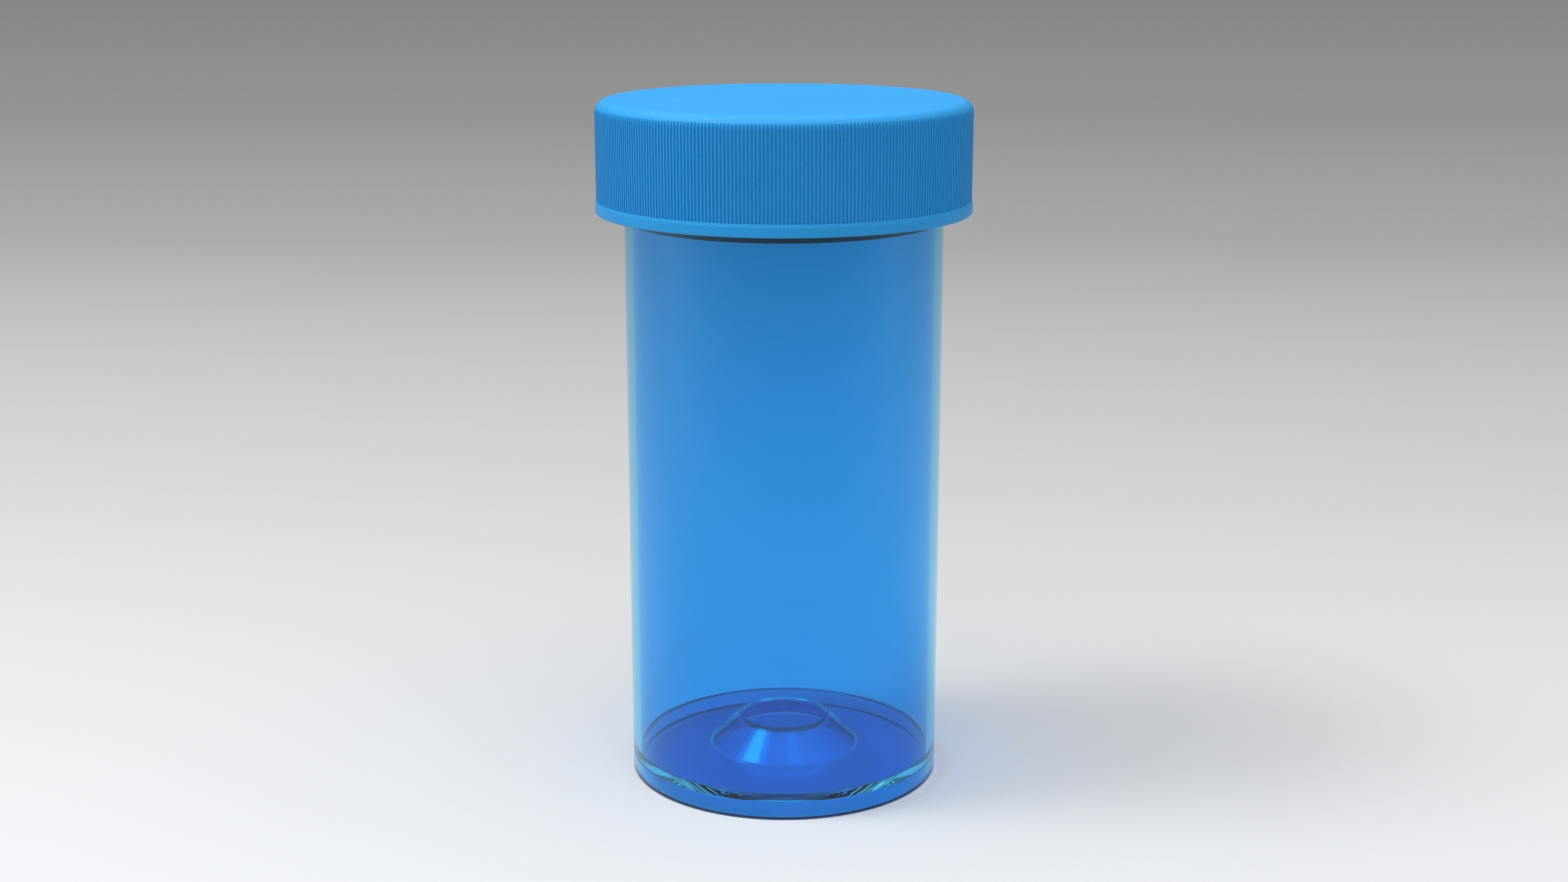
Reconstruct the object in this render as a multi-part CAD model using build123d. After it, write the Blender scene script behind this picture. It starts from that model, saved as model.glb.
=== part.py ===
from build123d import *
import os
from math import cos, pi, radians, sin, sqrt

# Prescription vial with a push-down-and-turn screw closure.
# Millimetres. +Z is up, and the origin is the centre of the base, on the surface it stands on.
# Every piece is round about Z: an outline is a list of (radius, height, corner rounding).

# ---------------------------------------------------------------- driving dimensions
BODY_RADIUS = 19.0
WALL = 0.97
BORE_RADIUS = BODY_RADIUS - WALL

FLOOR_TOP = 2.95
FLOOR_THICKNESS = 0.97
FOOT_ROUND = 0.23
FOOT_INNER_ROUND = 0.3
FLOOR_CORNER_ROUND = 0.3
UNDERSIDE_CORNER_ROUND = 0.2

PUNT_BASE_RADIUS = 9.3
PUNT_TOP_RADIUS = 5.6
PUNT_TOP = 6.37
PUNT_THICKNESS = 0.86
PUNT_RIM_ROUND = 1.14
PUNT_UNDER_ROUND = 0.38

RIM_HEIGHT = 78.38
RIM_ROUND = 0.3
STOP_BEAD_BOTTOM = 70.4
STOP_BEAD_TOP = 71.0
STOP_BEAD_RADIUS = 19.45
STOP_BEAD_ROUND = 0.1

CAP_TOP = 83.05
CAP_BOTTOM = 69.85
RIBBED_RADIUS = 22.27
CAP_EDGE_ROUND = 1.47
FLANGE_RADIUS = 22.375
FLANGE_HEIGHT = 1.14
FLANGE_CHAMFER_HEIGHT = 0.38
RIB_COUNT = 320
GROOVE_SHARE = 0.6
GROOVE_DEPTH = 0.17

SHELL_TOP_THICKNESS = 1.0
SHELL_INNER_RADIUS = 21.0
SHELL_CEILING_ROUND = 0.4
SHELL_BEAD_RADIUS = 20.5
SHELL_BEAD_BOTTOM = 70.0
SHELL_BEAD_LEAD_IN = 0.2
SHELL_BEAD_TOP = 70.45

INNER_CAP_TOP = 80.4
INNER_CAP_BOTTOM = 70.6
INNER_CAP_TOP_THICKNESS = 1.0
INNER_CAP_RADIUS = 20.75
INNER_CAP_TOP_ROUND = 0.6
INNER_CAP_BORE = 19.85
SEAL_BEAD_RADIUS = 19.5
SEAL_BEAD_BOTTOM = 77.8
SEAL_BEAD_TOP = 78.3

THREAD_PITCH = 3.0
THREAD_TURNS = 1.5
THREAD_ROOT_WIDTH = 1.5
THREAD_CREST_WIDTH = 0.7
THREAD_SINK = 0.1
NECK_THREAD_START = 72.4
NECK_THREAD_CREST = 19.75
CAP_THREAD_CREST = 19.2
CAP_THREAD_DROP = 1.1
CAP_THREAD_ANGLE = 90.0

SEAL_FLANGE_RADIUS = 19.7
SEAL_FLANGE_THICKNESS = 1.0
SEAL_PLUG_RADIUS = 17.95
SEAL_PLUG_BOTTOM = 68.64
SEAL_PLUG_WALL = 1.25
SEAL_HOLLOW_ROUND = 0.6
SEAL_SKIRT_ROUND = 0.3

LUG_COUNT = 12
LUG_HEIGHT = 0.75
LUG_INNER_RADIUS = 12.5
LUG_OUTER_RADIUS = 18.5
LUG_WIDTH = 2.0

SPRING_INNER_RADIUS = 4.0
SPRING_OUTER_RADIUS = 10.5
SPRING_THICKNESS = 0.3
SPRING_GAP = 0.03
SPRING_FINGERS = 6
SPRING_SLOT_WIDTH = 1.0
SPRING_HUB_RADIUS = 6.0

EDGE_ROUND = 0.15

# ---------------------------------------------------------------- derived heights
SHELL_CEILING = CAP_TOP - SHELL_TOP_THICKNESS
INNER_CAP_CEILING = INNER_CAP_TOP - INNER_CAP_TOP_THICKNESS
SEAL_FLANGE_BOTTOM = INNER_CAP_CEILING - SEAL_FLANGE_THICKNESS
FLANGE_TOP = CAP_BOTTOM + FLANGE_HEIGHT
RIBS_BOTTOM = FLANGE_TOP + FLANGE_CHAMFER_HEIGHT


def turned(*outline):
    """Solid of revolution about Z from (radius, height, rounding) corners, in order round the section."""
    points = [(radius, height) for radius, height, rounding in outline]
    roundings = [rounding for radius, height, rounding in outline]
    section = make_face(FilletPolyline(*points, radius=roundings, close=True))
    return revolve(Plane.XZ * section, axis=Axis.Z)


def thread(root_radius, crest_radius, start_height):
    """Right-handed ridge of trapezoid section along a helix, from +X round towards +Y."""
    path = Helix(
        pitch=THREAD_PITCH,
        height=THREAD_PITCH * THREAD_TURNS,
        radius=root_radius,
        center=(0, 0, start_height),
    )
    half_root = THREAD_ROOT_WIDTH / 2
    half_crest = THREAD_CREST_WIDTH / 2
    section = make_face(
        Polyline(
            (root_radius, start_height - half_root),
            (crest_radius, start_height - half_crest),
            (crest_radius, start_height + half_crest),
            (root_radius, start_height + half_root),
            close=True,
        )
    )
    return sweep(Plane.XZ * section, path=path, is_frenet=True)


def make_vial_body():
    """Straight thin wall on a foot ring, a floor with a hollow cone (punt), and a threaded neck."""
    floor_underside = FLOOR_TOP - FLOOR_THICKNESS
    punt_slope = (PUNT_TOP - FLOOR_TOP) / (PUNT_BASE_RADIUS - PUNT_TOP_RADIUS)
    flank_offset = PUNT_THICKNESS * sqrt(1 + punt_slope**2) / punt_slope
    punt_ceiling = PUNT_TOP - PUNT_THICKNESS

    def flank_under(height):
        """Radius of the cone's hollow underside at a height."""
        return PUNT_BASE_RADIUS - (height - FLOOR_TOP) / punt_slope - flank_offset

    shell = turned(
        (0, punt_ceiling, 0),
        (flank_under(punt_ceiling), punt_ceiling, PUNT_UNDER_ROUND),
        (flank_under(floor_underside), floor_underside, 0),
        (BORE_RADIUS, floor_underside, UNDERSIDE_CORNER_ROUND),
        (BORE_RADIUS, 0, FOOT_INNER_ROUND),
        (BODY_RADIUS, 0, FOOT_ROUND),
        (BODY_RADIUS, STOP_BEAD_BOTTOM, 0),
        (STOP_BEAD_RADIUS, STOP_BEAD_BOTTOM, STOP_BEAD_ROUND),
        (STOP_BEAD_RADIUS, STOP_BEAD_TOP, STOP_BEAD_ROUND),
        (BODY_RADIUS, STOP_BEAD_TOP, 0),
        (BODY_RADIUS, RIM_HEIGHT, RIM_ROUND),
        (BORE_RADIUS, RIM_HEIGHT, RIM_ROUND),
        (BORE_RADIUS, FLOOR_TOP, FLOOR_CORNER_ROUND),
        (PUNT_BASE_RADIUS, FLOOR_TOP, PUNT_UNDER_ROUND),
        (PUNT_TOP_RADIUS, PUNT_TOP, PUNT_RIM_ROUND),
        (0, PUNT_TOP, 0),
    )
    return shell + thread(BODY_RADIUS - THREAD_SINK, NECK_THREAD_CREST, NECK_THREAD_START)


def lug_ring(bottom, turn):
    """Ring of radial drive lugs, one solid each, the first one turned by `turn` degrees from +X."""
    lug = Box(LUG_OUTER_RADIUS - LUG_INNER_RADIUS, LUG_WIDTH, LUG_HEIGHT)
    middle = (LUG_INNER_RADIUS + LUG_OUTER_RADIUS) / 2
    placed = Pos(middle, 0, bottom + LUG_HEIGHT / 2) * lug
    pitch = 360 / LUG_COUNT
    return [Rot(0, 0, turn + pitch * number) * placed for number in range(LUG_COUNT)]


def make_inner_cap():
    """Threaded inner cap with a bead that holds the seal and lugs on its top face."""
    cup = turned(
        (0, INNER_CAP_CEILING, 0),
        (INNER_CAP_BORE, INNER_CAP_CEILING, 0),
        (INNER_CAP_BORE, SEAL_BEAD_TOP, 0),
        (SEAL_BEAD_RADIUS, SEAL_BEAD_TOP, 0),
        (INNER_CAP_BORE, SEAL_BEAD_BOTTOM, 0),
        (INNER_CAP_BORE, INNER_CAP_BOTTOM, 0),
        (INNER_CAP_RADIUS, INNER_CAP_BOTTOM, EDGE_ROUND),
        (INNER_CAP_RADIUS, INNER_CAP_TOP, INNER_CAP_TOP_ROUND),
        (0, INNER_CAP_TOP, 0),
    )
    ridge = Rot(0, 0, CAP_THREAD_ANGLE) * thread(
        INNER_CAP_BORE + THREAD_SINK,
        CAP_THREAD_CREST,
        NECK_THREAD_START - CAP_THREAD_DROP + THREAD_PITCH * CAP_THREAD_ANGLE / 360,
    )
    return cup + ridge + lug_ring(INNER_CAP_TOP, 0)


def make_seal_plug():
    """Soft hollow stopper: a flange clamped on the vial's rim and a skirt that fills its mouth."""
    skirt_inner = SEAL_PLUG_RADIUS - SEAL_PLUG_WALL
    return turned(
        (0, SEAL_FLANGE_BOTTOM, 0),
        (skirt_inner, SEAL_FLANGE_BOTTOM, SEAL_HOLLOW_ROUND),
        (skirt_inner, SEAL_PLUG_BOTTOM, SEAL_SKIRT_ROUND),
        (SEAL_PLUG_RADIUS, SEAL_PLUG_BOTTOM, EDGE_ROUND),
        (SEAL_PLUG_RADIUS, SEAL_FLANGE_BOTTOM, 0),
        (SEAL_FLANGE_RADIUS, SEAL_FLANGE_BOTTOM, EDGE_ROUND),
        (SEAL_FLANGE_RADIUS, INNER_CAP_CEILING, EDGE_ROUND),
        (0, INNER_CAP_CEILING, 0),
    )


def make_spring_ring():
    """Slotted cone spring that holds the two caps apart: rim on the inner cap, hub under the shell."""
    bottom = INNER_CAP_TOP + SPRING_GAP
    top = SHELL_CEILING - SPRING_GAP
    cone = turned(
        (SPRING_INNER_RADIUS, top - SPRING_THICKNESS, 0),
        (SPRING_HUB_RADIUS, top - SPRING_THICKNESS, 0),
        (SPRING_OUTER_RADIUS, bottom, 0),
        (SPRING_OUTER_RADIUS, bottom + SPRING_THICKNESS, 0),
        (SPRING_HUB_RADIUS, top, 0),
        (SPRING_INNER_RADIUS, top, 0),
    )
    slot_length = SPRING_OUTER_RADIUS - SPRING_HUB_RADIUS
    slot = Pos(SPRING_HUB_RADIUS + slot_length, 0, top) * Box(2 * slot_length, SPRING_SLOT_WIDTH, CAP_TOP)
    pitch = 360 / SPRING_FINGERS
    return cone - [Rot(0, 0, pitch * number) * slot for number in range(SPRING_FINGERS)]


def ribbed_disc(bottom, top):
    """Upright disc whose edge carries round-bottomed grooves with narrow lands between them."""
    pitch = 2 * pi / RIB_COUNT
    half_groove = pitch * GROOVE_SHARE / 2

    def at(radius, angle):
        return (radius * cos(angle), radius * sin(angle))

    edges = []
    for number in range(RIB_COUNT):
        middle = number * pitch
        groove_start = at(RIBBED_RADIUS, middle - half_groove)
        groove_bottom = at(RIBBED_RADIUS - GROOVE_DEPTH, middle)
        groove_end = at(RIBBED_RADIUS, middle + half_groove)
        next_start = at(RIBBED_RADIUS, middle + pitch - half_groove)
        edges.append(ThreePointArc(groove_start, groove_bottom, groove_end))
        edges.append(Line(groove_end, next_start))
    profile = make_face(Wire(edges))
    return Pos(0, 0, bottom) * extrude(profile, amount=top - bottom)


def make_outer_shell():
    """Ribbed outer shell: rounded top edge, plain flange below the ribs, drive lugs and a snap bead."""
    rounded_top = turned(
        (0, RIBS_BOTTOM, 0),
        (RIBBED_RADIUS, RIBS_BOTTOM, 0),
        (RIBBED_RADIUS, CAP_TOP, CAP_EDGE_ROUND),
        (0, CAP_TOP, 0),
    )
    flange = turned(
        (0, CAP_BOTTOM, 0),
        (FLANGE_RADIUS, CAP_BOTTOM, EDGE_ROUND),
        (FLANGE_RADIUS, FLANGE_TOP, 0),
        (RIBBED_RADIUS, RIBS_BOTTOM, 0),
        (0, RIBS_BOTTOM, 0),
    )
    below = CAP_BOTTOM - SHELL_TOP_THICKNESS
    hollow = turned(
        (0, below, 0),
        (SHELL_INNER_RADIUS, below, 0),
        (SHELL_INNER_RADIUS, SHELL_BEAD_BOTTOM, 0),
        (SHELL_BEAD_RADIUS, SHELL_BEAD_BOTTOM + SHELL_BEAD_LEAD_IN, 0),
        (SHELL_BEAD_RADIUS, SHELL_BEAD_TOP, 0),
        (SHELL_INNER_RADIUS, SHELL_BEAD_TOP, 0),
        (SHELL_INNER_RADIUS, SHELL_CEILING, SHELL_CEILING_ROUND),
        (0, SHELL_CEILING, 0),
    )
    outside = (ribbed_disc(RIBS_BOTTOM, CAP_TOP) & rounded_top) + flange
    half_pitch = 180 / LUG_COUNT
    return outside - hollow + lug_ring(SHELL_CEILING - LUG_HEIGHT, half_pitch)


PARTS = {
    "vial_body": make_vial_body,
    "inner_cap": make_inner_cap,
    "seal_plug": make_seal_plug,
    "spring_ring": make_spring_ring,
    "outer_shell": make_outer_shell,
}

os.makedirs("parts", exist_ok=True)
for name, make in PARTS.items():
    solid = make()
    export_step(solid, f"parts/{name}.step")
    print(name, round(solid.volume, 1), "mm3")
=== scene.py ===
from math import atan2, cos, hypot, pi, radians, sin, tan

import bmesh
import bpy
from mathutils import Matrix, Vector


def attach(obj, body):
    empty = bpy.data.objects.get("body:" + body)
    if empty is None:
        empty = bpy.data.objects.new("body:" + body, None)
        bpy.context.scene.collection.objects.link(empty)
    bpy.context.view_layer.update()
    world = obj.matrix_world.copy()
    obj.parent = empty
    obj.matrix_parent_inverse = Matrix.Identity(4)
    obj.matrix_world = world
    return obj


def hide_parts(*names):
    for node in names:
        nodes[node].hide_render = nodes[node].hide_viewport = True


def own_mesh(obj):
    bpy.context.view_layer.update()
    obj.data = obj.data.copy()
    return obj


# Looks of the prescription vial: a clear blue wall, a satin ribbed closure, and the parts inside it.
# The vial's outline is in millimetres, the design's own unit, and MM turns it into Blender's metres.
MM = 0.001

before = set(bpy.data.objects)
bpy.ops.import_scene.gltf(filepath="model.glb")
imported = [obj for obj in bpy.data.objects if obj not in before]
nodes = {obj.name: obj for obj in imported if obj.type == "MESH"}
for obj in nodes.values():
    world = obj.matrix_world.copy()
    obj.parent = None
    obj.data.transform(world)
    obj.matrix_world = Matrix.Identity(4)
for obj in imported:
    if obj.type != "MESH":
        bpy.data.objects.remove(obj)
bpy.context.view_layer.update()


def add_object(name, data):
    """New object that shows the data, linked into the scene."""
    added = bpy.data.objects.new(name, data)
    bpy.context.scene.collection.objects.link(added)
    return added


# ---------------------------------------------------------------- vial: the design's sizes
BODY_RADIUS = 19.0
BORE_RADIUS = 18.03
RIM_HEIGHT = 78.38
RIM_ROUND = 0.3

FLOOR_TOP = 2.95
FLOOR_UNDERSIDE = 1.98
FLOOR_CORNER_ROUND = 0.3
UNDERSIDE_CORNER_ROUND = 0.2
FOOT_ROUND = 0.23
FOOT_INNER_ROUND = 0.3

# The punt is the hollow cone that stands up in the middle of the floor.
PUNT_BASE_RADIUS = 9.3
PUNT_BASE_ROUND = 0.38
PUNT_TOP_RADIUS = 5.6
PUNT_TOP = 6.37
PUNT_RIM_ROUND = 1.14
PUNT_THICKNESS = 0.86
PUNT_CEILING = 5.51
PUNT_CEILING_ROUND = 0.38

STOP_BEAD_RADIUS = 19.45
STOP_BEAD_BOTTOM = 70.4
STOP_BEAD_TOP = 71.0
STOP_BEAD_ROUND = 0.1

THREAD_PITCH = 3.0
THREAD_TURNS = 1.5
THREAD_START = 72.4
THREAD_HALF_ROOT = 0.75
THREAD_HALF_CREST = 0.35
THREAD_SINK = 0.1
THREAD_CREST_RADIUS = 19.75
THREAD_END_TAPER = radians(14)

# The wall has closely spaced rings over the threaded band, so that its mesh can follow the ridge.
THREAD_BAND_BOTTOM = 71.4
THREAD_BAND_TOP = 77.9
THREAD_BAND_STEP = 0.1

# Fine mesh, because the eye sees through the wall and every facet would bend the light.
COLUMNS = 512
FILLET_STEPS = 10
SUPPORT_GAP = 0.03
SHARP_ANGLE = radians(25)


def rounded(corners):
    """Turns an outline's corners of (radius, height, rounding) into points of (radius, height).

    A round also gets a point just beyond each of its ends, which keeps the shading of the flats flat.
    """
    points = []
    for number, (radius, height, rounding) in enumerate(corners):
        corner = Vector((radius, height))
        if rounding == 0:
            points.append((radius, height))
            continue
        before = Vector(corners[number - 1][:2])
        after = Vector(corners[(number + 1) % len(corners)][:2])
        back = (before - corner).normalized()
        on = (after - corner).normalized()
        half = back.angle(on) / 2
        reach = rounding / tan(half)
        middle = corner + (back + on).normalized() * (rounding / sin(half))
        first = corner + back * reach - middle
        last = corner + on * reach - middle
        start = atan2(first.y, first.x)
        sweep = (atan2(last.y, last.x) - start + pi) % (2 * pi) - pi
        points.append(tuple(corner + back * (reach + SUPPORT_GAP)))
        for step in range(FILLET_STEPS + 1):
            angle = start + sweep * step / FILLET_STEPS
            points.append((middle.x + rounding * cos(angle), middle.y + rounding * sin(angle)))
        points.append(tuple(corner + on * (reach + SUPPORT_GAP)))
    return points


def outer_radius(angle, height):
    """Radius of the vial's outside: the wall, or the thread's ridge where that stands above the wall."""
    radius = BODY_RADIUS
    root = BODY_RADIUS - THREAD_SINK
    thread_end = THREAD_TURNS * 2 * pi
    turned = angle % (2 * pi)
    while turned <= thread_end:
        ridge_height = THREAD_START + THREAD_PITCH * turned / (2 * pi)
        aside = abs(height - ridge_height)
        flank = (THREAD_HALF_ROOT - aside) / (THREAD_HALF_ROOT - THREAD_HALF_CREST)
        to_end = min(turned, thread_end - turned) / THREAD_END_TAPER
        share = min(max(flank, 0), 1) * min(to_end, 1)
        radius = max(radius, root + (THREAD_CREST_RADIUS - root) * share)
        turned += 2 * pi
    return radius


def revolve(name, outline):
    """Closed mesh object made by turning the vial's outline about Z, with the thread on its outside."""
    builder = bmesh.new()
    rings = []
    for radius, height in outline:
        ring = []
        for column in range(COLUMNS if radius > 0 else 1):
            angle = 2 * pi * column / COLUMNS
            out = outer_radius(angle, height) if radius == BODY_RADIUS else radius
            ring.append(builder.verts.new((out * cos(angle) * MM, out * sin(angle) * MM, height * MM)))
        rings.append(ring)
    for low, high in zip(rings, rings[1:] + rings[:1]):
        # The outline begins and ends on the axis, and no face joins those two points.
        if len(low) == 1 and len(high) == 1:
            continue
        for column in range(COLUMNS):
            after = (column + 1) % COLUMNS
            corners = [low[column % len(low)], low[after % len(low)]]
            corners += [high[after % len(high)], high[column % len(high)]]
            # At the axis two corners are the same point, and the face is a triangle.
            builder.faces.new(list(dict.fromkeys(corners)))
    bmesh.ops.recalc_face_normals(builder, faces=builder.faces)
    mesh = bpy.data.meshes.new(name)
    builder.to_mesh(mesh)
    builder.free()
    mesh.shade_smooth()
    mesh.set_sharp_from_angle(angle=SHARP_ANGLE)
    return add_object(name, mesh)


def make_vial():
    """The clear vial in one closed mesh: foot ring, floor with its punt, wall, stop bead, thread and rim."""
    slope = (PUNT_TOP - FLOOR_TOP) / (PUNT_BASE_RADIUS - PUNT_TOP_RADIUS)
    offset = PUNT_THICKNESS * hypot(1, slope) / slope

    def flank_under(height):
        return PUNT_BASE_RADIUS - (height - FLOOR_TOP) / slope - offset

    rows = int((THREAD_BAND_TOP - THREAD_BAND_BOTTOM) / THREAD_BAND_STEP)
    thread_rows = [
        (BODY_RADIUS, THREAD_BAND_BOTTOM + THREAD_BAND_STEP * row, 0) for row in range(rows + 1)
    ]
    corners = [
        (0, PUNT_CEILING, 0),
        (flank_under(PUNT_CEILING), PUNT_CEILING, PUNT_CEILING_ROUND),
        (flank_under(FLOOR_UNDERSIDE), FLOOR_UNDERSIDE, 0),
        (BORE_RADIUS, FLOOR_UNDERSIDE, UNDERSIDE_CORNER_ROUND),
        (BORE_RADIUS, 0, FOOT_INNER_ROUND),
        (BODY_RADIUS, 0, FOOT_ROUND),
        (BODY_RADIUS, STOP_BEAD_BOTTOM, 0),
        (STOP_BEAD_RADIUS, STOP_BEAD_BOTTOM, STOP_BEAD_ROUND),
        (STOP_BEAD_RADIUS, STOP_BEAD_TOP, STOP_BEAD_ROUND),
        (BODY_RADIUS, STOP_BEAD_TOP, 0),
        *thread_rows,
        (BODY_RADIUS, RIM_HEIGHT, RIM_ROUND),
        (BORE_RADIUS, RIM_HEIGHT, RIM_ROUND),
        (BORE_RADIUS, FLOOR_TOP, FLOOR_CORNER_ROUND),
        (PUNT_BASE_RADIUS, FLOOR_TOP, PUNT_BASE_ROUND),
        (PUNT_TOP_RADIUS, PUNT_TOP, PUNT_RIM_ROUND),
        (0, PUNT_TOP, 0),
    ]
    return revolve("clear_vial", rounded(corners))


def make_spring():
    """The slotted cone spring as a piece of its own, made from a copy of the spring ring's mesh."""
    return add_object("cone_spring", nodes["spring_ring"].data.copy())


# ---------------------------------------------------------------- materials
# Noise scales are per metre, and noise values mostly lie between these two.
NOISE_LOW = 0.3
NOISE_HIGH = 0.7

PIGMENT_SCALE = 90
PIGMENT_DETAIL = 3
PIGMENT_ROUGHNESS = 0.5
GRAIN_DETAIL = 2
GRAIN_ROUGHNESS = 0.6
MOULDED_SPECULAR = 0.16
GLOSS_SPREAD = 0.04

WALL_TINT = (0.052, 0.59, 0.997)
WALL_TINT_PALER = (0.060, 0.61, 0.997)
WALL_IOR = 1.48
WALL_TINT_SCALE = 25
WALL_TINT_DETAIL = 2
WALL_TINT_ROUGHNESS = 0.5


def shader(name, **values):
    """New Principled material, with its plain values set on the shader's own sockets."""
    material = bpy.data.materials.new(name)
    material.use_nodes = True
    principled = material.node_tree.nodes["Principled BSDF"]
    for socket, value in values.items():
        principled.inputs[socket.replace("_", " ")].default_value = value
    return material, material.node_tree, principled


def noise(tree, scale, detail, roughness):
    """Noise in the object's own metres."""
    place = tree.nodes.new("ShaderNodeTexCoord")
    texture = tree.nodes.new("ShaderNodeTexNoise")
    texture.inputs["Scale"].default_value = scale
    texture.inputs["Detail"].default_value = detail
    texture.inputs["Roughness"].default_value = roughness
    tree.links.new(place.outputs["Object"], texture.inputs["Vector"])
    return texture.outputs["Fac"]


def spread(tree, source, low, high):
    """The noise stretched to run from low to high."""
    remap = tree.nodes.new("ShaderNodeMapRange")
    remap.inputs["From Min"].default_value = NOISE_LOW
    remap.inputs["From Max"].default_value = NOISE_HIGH
    remap.inputs["To Min"].default_value = low
    remap.inputs["To Max"].default_value = high
    tree.links.new(source, remap.inputs["Value"])
    return remap.outputs["Result"]


def mottle(tree, source, first, second):
    """Colour that runs from first to second with the noise."""
    mix = tree.nodes.new("ShaderNodeMix")
    mix.data_type = "RGBA"
    mix.inputs["A"].default_value = (*first, 1)
    mix.inputs["B"].default_value = (*second, 1)
    tree.links.new(spread(tree, source, 0, 1), mix.inputs["Factor"])
    return mix.outputs["Result"]


def grain(tree, principled, source, height):
    """Bump of the given height in metres."""
    bump = tree.nodes.new("ShaderNodeBump")
    bump.inputs["Distance"].default_value = height
    tree.links.new(source, bump.inputs["Height"])
    tree.links.new(bump.outputs["Normal"], principled.inputs["Normal"])


def moulded_plastic(name, first, second, roughness, grain_scale, grain_height):
    """Opaque moulded plastic: faint pigment mottling, uneven gloss and a fine grain."""
    material, tree, principled = shader(name, Specular_IOR_Level=MOULDED_SPECULAR)
    pigment = noise(tree, PIGMENT_SCALE, PIGMENT_DETAIL, PIGMENT_ROUGHNESS)
    fine = noise(tree, grain_scale, GRAIN_DETAIL, GRAIN_ROUGHNESS)
    gloss = spread(tree, fine, roughness - GLOSS_SPREAD, roughness + GLOSS_SPREAD)
    tree.links.new(mottle(tree, pigment, first, second), principled.inputs["Base Color"])
    tree.links.new(gloss, principled.inputs["Roughness"])
    grain(tree, principled, fine, grain_height)
    return material


def clear_blue_plastic():
    """Transparent blue: each pass through a surface takes out red and part of the green."""
    material, tree, principled = shader(
        "clear_blue_plastic", Roughness=0.0, IOR=WALL_IOR, Transmission_Weight=1.0
    )
    clouds = noise(tree, WALL_TINT_SCALE, WALL_TINT_DETAIL, WALL_TINT_ROUGHNESS)
    tint = mottle(tree, clouds, WALL_TINT, WALL_TINT_PALER)
    tree.links.new(tint, principled.inputs["Base Color"])
    return material


def dress(piece, material):
    """Gives the piece this material alone."""
    piece.data.materials.clear()
    piece.data.materials.append(material)


# ---------------------------------------------------------------- pieces
vial = make_vial()
dress(vial, clear_blue_plastic())
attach(vial, "vial")
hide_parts("vial_body")

shell_plastic = moulded_plastic(
    "cap_blue",
    first=(0.0195, 0.288, 0.66),
    second=(0.0225, 0.298, 0.68),
    roughness=0.40,
    grain_scale=6500,
    grain_height=0.00007,
)
dress(nodes["outer_shell"], shell_plastic)

inner_cap_plastic = moulded_plastic(
    "inner_cap_natural",
    first=(0.74, 0.75, 0.73),
    second=(0.78, 0.78, 0.76),
    roughness=0.45,
    grain_scale=6000,
    grain_height=0.000005,
)
dress(nodes["inner_cap"], inner_cap_plastic)

spring_plastic = moulded_plastic(
    "spring_acetal",
    first=(0.80, 0.79, 0.74),
    second=(0.83, 0.82, 0.77),
    roughness=0.35,
    grain_scale=5000,
    grain_height=0.000003,
)
spring = make_spring()
dress(spring, spring_plastic)
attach(spring, "spring")
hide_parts("spring_ring")
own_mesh(spring)

seal_rubber = moulded_plastic(
    "seal_rubber",
    first=(0.026, 0.027, 0.029),
    second=(0.032, 0.033, 0.035),
    roughness=0.55,
    grain_scale=4000,
    grain_height=0.000006,
)
dress(nodes["seal_plug"], seal_rubber)


def calculate(tree, operation, source, amount=0.0):
    """Result of a Math node that works on the source and a fixed amount."""
    step = tree.nodes.new("ShaderNodeMath")
    step.operation = operation
    step.inputs[1].default_value = amount
    tree.links.new(source, step.inputs[0])
    return step.outputs["Value"]


# ---------------------------------------------------------------- floor
FLOOR_SIZE = 8.0
FLOOR_DROP = 0.06 * MM
FLOOR_ROUGHNESS = 0.9
# The floor's colour has the studio light's falloff painted into it: palest along a line this far in front of
# the vial, and darkest this far from that line.
PALEST_IN_FRONT = 0.05
DARKEST_AWAY = 2.0
NEAR_FLOOR_PAINTED_LIT = (0.53, 0.54, 0.555, 1)
FAR_FLOOR_PAINTED_SHADE = (0.16, 0.16, 0.16, 1)
# Between the two: the share of the way to the darkest place, and the painted grey there.
PAINTED_FALLOFF_GREYS = ((0.09, 0.395), (0.235, 0.25), (0.425, 0.195))


def floor_paper_painted_falloff():
    """Pale matt paper with painted falloff of light: its colour darkens smoothly with distance in front of
    and behind the vial.
    """
    material, tree, principled = shader("floor_paper_painted_falloff", Roughness=FLOOR_ROUGHNESS)
    place = tree.nodes.new("ShaderNodeTexCoord")
    apart = tree.nodes.new("ShaderNodeSeparateXYZ")
    tree.links.new(place.outputs["Object"], apart.inputs["Vector"])
    from_palest = calculate(tree, "ADD", apart.outputs["Y"], PALEST_IN_FRONT)
    away = tree.nodes.new("ShaderNodeMapRange")
    away.inputs["From Max"].default_value = DARKEST_AWAY
    tree.links.new(calculate(tree, "ABSOLUTE", from_palest), away.inputs["Value"])
    # Painted shade: this ramp darkens the paper's own colour where the studio light falls off.
    ramp = tree.nodes.new("ShaderNodeValToRGB")
    stops = ramp.color_ramp.elements
    stops[0].color = NEAR_FLOOR_PAINTED_LIT
    stops[1].color = FAR_FLOOR_PAINTED_SHADE
    for share, grey in PAINTED_FALLOFF_GREYS:
        stops.new(share).color = (grey, grey, grey, 1)
    tree.links.new(away.outputs["Result"], ramp.inputs["Fac"])
    tree.links.new(ramp.outputs["Color"], principled.inputs["Base Color"])
    return material


def make_floor():
    """Square floor, just below the surface that the vial stands on."""
    builder = bmesh.new()
    bmesh.ops.create_grid(builder, x_segments=1, y_segments=1, size=FLOOR_SIZE / 2)
    mesh = bpy.data.meshes.new("floor")
    builder.to_mesh(mesh)
    builder.free()
    floor = add_object("floor", mesh)
    floor.location.z = -FLOOR_DROP
    dress(floor, floor_paper_painted_falloff())


make_floor()

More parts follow.
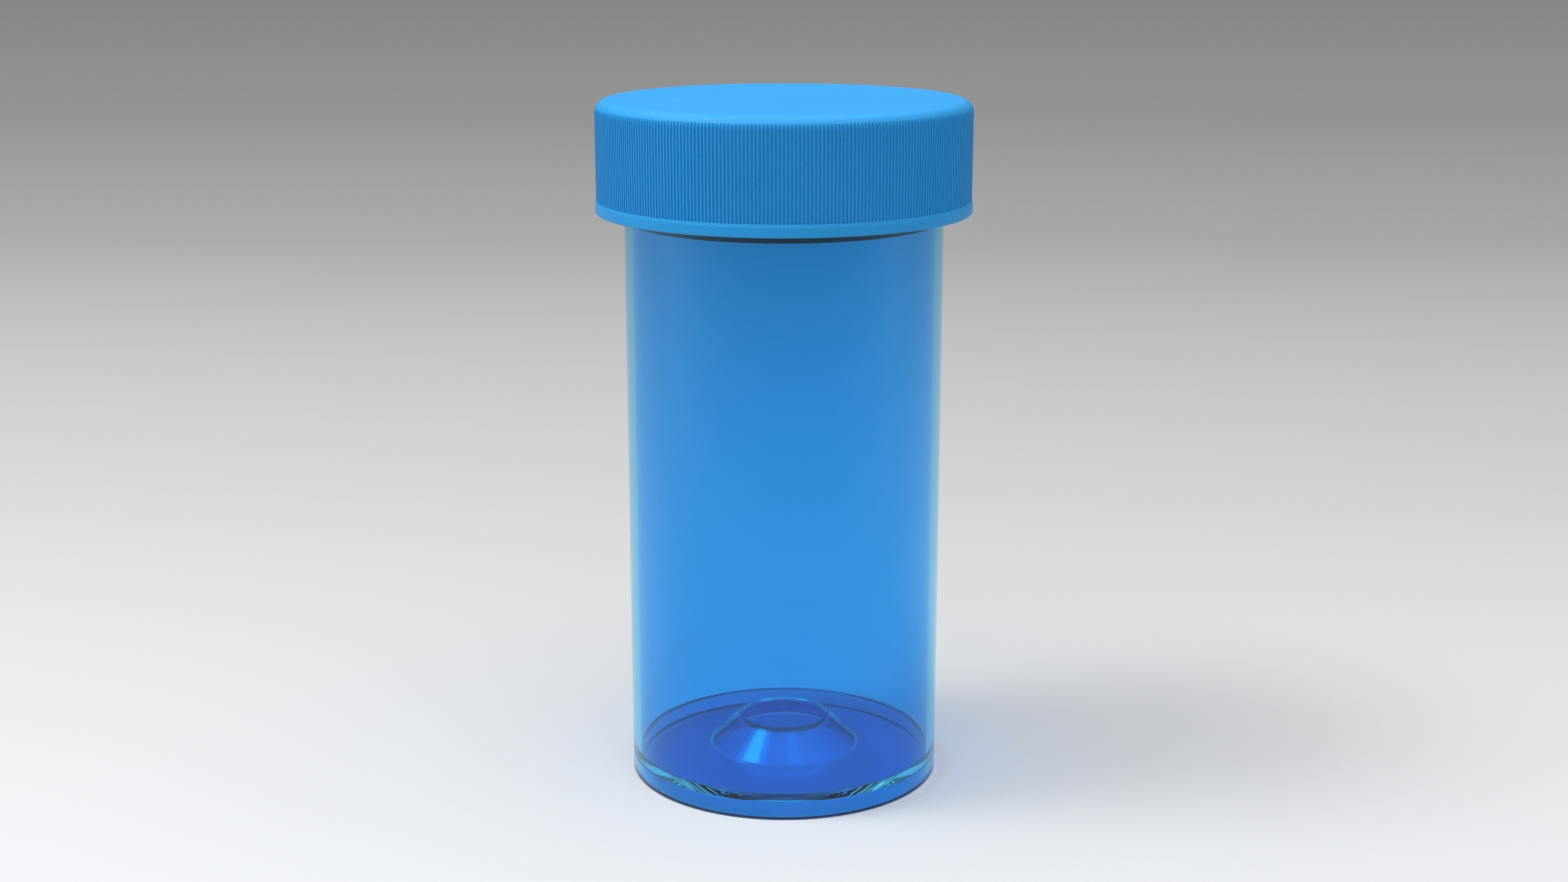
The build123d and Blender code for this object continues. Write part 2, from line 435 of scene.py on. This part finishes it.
# ---------------------------------------------------------------- light
# Distances and sizes in metres, powers in watts. -Y is towards the camera.
LAMP_DISTANCE = 0.8
LAMP_AIM_HEIGHT = 0.04
KEY_DIRECTION = Vector((-0.565, -0.1, 0.82))
KEY_SIZE = 0.24
KEY_POWER = 2.0
KEY_HALO_SIZE = 0.46
KEY_HALO_POWER = 1.6
TOP_DIRECTION = Vector((0.2, -0.3, 0.93))
TOP_SIZE = 0.2
TOP_POWER = 0.2
SKY_BRIGHT_DIRECTION = Vector((0, -0.15, 1)).normalized()
SKY_EDGE = -0.3
SKY_FALL_OFF = 3.0
SKY_LOWEST = 0.05
SKY_STRENGTH = 2.64


def make_lamp(name, direction, size, power):
    """Round soft lamp that stands off in a direction and shines back on the middle of the vial."""
    data = bpy.data.lights.new(name, "AREA")
    data.shape = "DISK"
    data.size = size
    data.energy = power
    lamp = add_object(name, data)
    lamp.location = direction.normalized() * LAMP_DISTANCE + Vector((0, 0, LAMP_AIM_HEIGHT))
    lamp.rotation_euler = direction.to_track_quat("Z", "Y").to_euler()


def make_sky():
    """Grey sky, brightest overhead and falling to a low even level near the horizon."""
    world = bpy.data.worlds.new("sky")
    world.use_nodes = True
    tree = world.node_tree
    place = tree.nodes.new("ShaderNodeTexCoord")
    facing = tree.nodes.new("ShaderNodeVectorMath")
    facing.operation = "DOT_PRODUCT"
    facing.inputs[1].default_value = SKY_BRIGHT_DIRECTION
    tree.links.new(place.outputs["Generated"], facing.inputs[0])
    glow = tree.nodes.new("ShaderNodeMapRange")
    glow.inputs["From Min"].default_value = SKY_EDGE
    tree.links.new(facing.outputs["Value"], glow.inputs["Value"])
    falling = calculate(tree, "POWER", glow.outputs["Result"], SKY_FALL_OFF)
    brightness = calculate(tree, "MAXIMUM", falling, SKY_LOWEST)
    background = tree.nodes["Background"]
    tree.links.new(brightness, background.inputs["Color"])
    background.inputs["Strength"].default_value = SKY_STRENGTH
    bpy.context.scene.world = world


# The key is a bright core in a wider, weaker halo, which softens the edge of its highlights.
make_lamp("key", KEY_DIRECTION, KEY_SIZE, KEY_POWER)
make_lamp("key_halo", KEY_DIRECTION, KEY_HALO_SIZE, KEY_HALO_POWER)
make_lamp("top", TOP_DIRECTION, TOP_SIZE, TOP_POWER)
make_sky()

# ---------------------------------------------------------------- camera
CAMERA_PLACE = (0, -0.258176, 0.106279)
CAMERA_TILT_DOWN = radians(14.0873)
LENS_MM = 50
SENSOR_WIDTH_MM = 36
NEAREST_SEEN = 0.001


def make_camera():
    """Camera in front of the vial, looking slightly down."""
    data = bpy.data.cameras.new("camera")
    data.lens = LENS_MM
    data.sensor_width = SENSOR_WIDTH_MM
    data.clip_start = NEAREST_SEEN
    camera = add_object("camera", data)
    camera.location = CAMERA_PLACE
    camera.rotation_euler = (pi / 2 - CAMERA_TILT_DOWN, 0, 0)
    bpy.context.scene.camera = camera


make_camera()

# ---------------------------------------------------------------- light paths
# The clear wall needs many bounces, and its reflections are neither blurred nor clamped.
THROUGH_GLASS_BOUNCES = 24
GLOSSY_BOUNCES = 12
DIFFUSE_BOUNCES = 2

scene = bpy.context.scene
scene.view_settings.view_transform = "Standard"
scene.cycles.max_bounces = THROUGH_GLASS_BOUNCES
scene.cycles.transmission_bounces = THROUGH_GLASS_BOUNCES
scene.cycles.glossy_bounces = GLOSSY_BOUNCES
scene.cycles.diffuse_bounces = DIFFUSE_BOUNCES
scene.cycles.sample_clamp_indirect = 0
scene.cycles.blur_glossy = 0.0
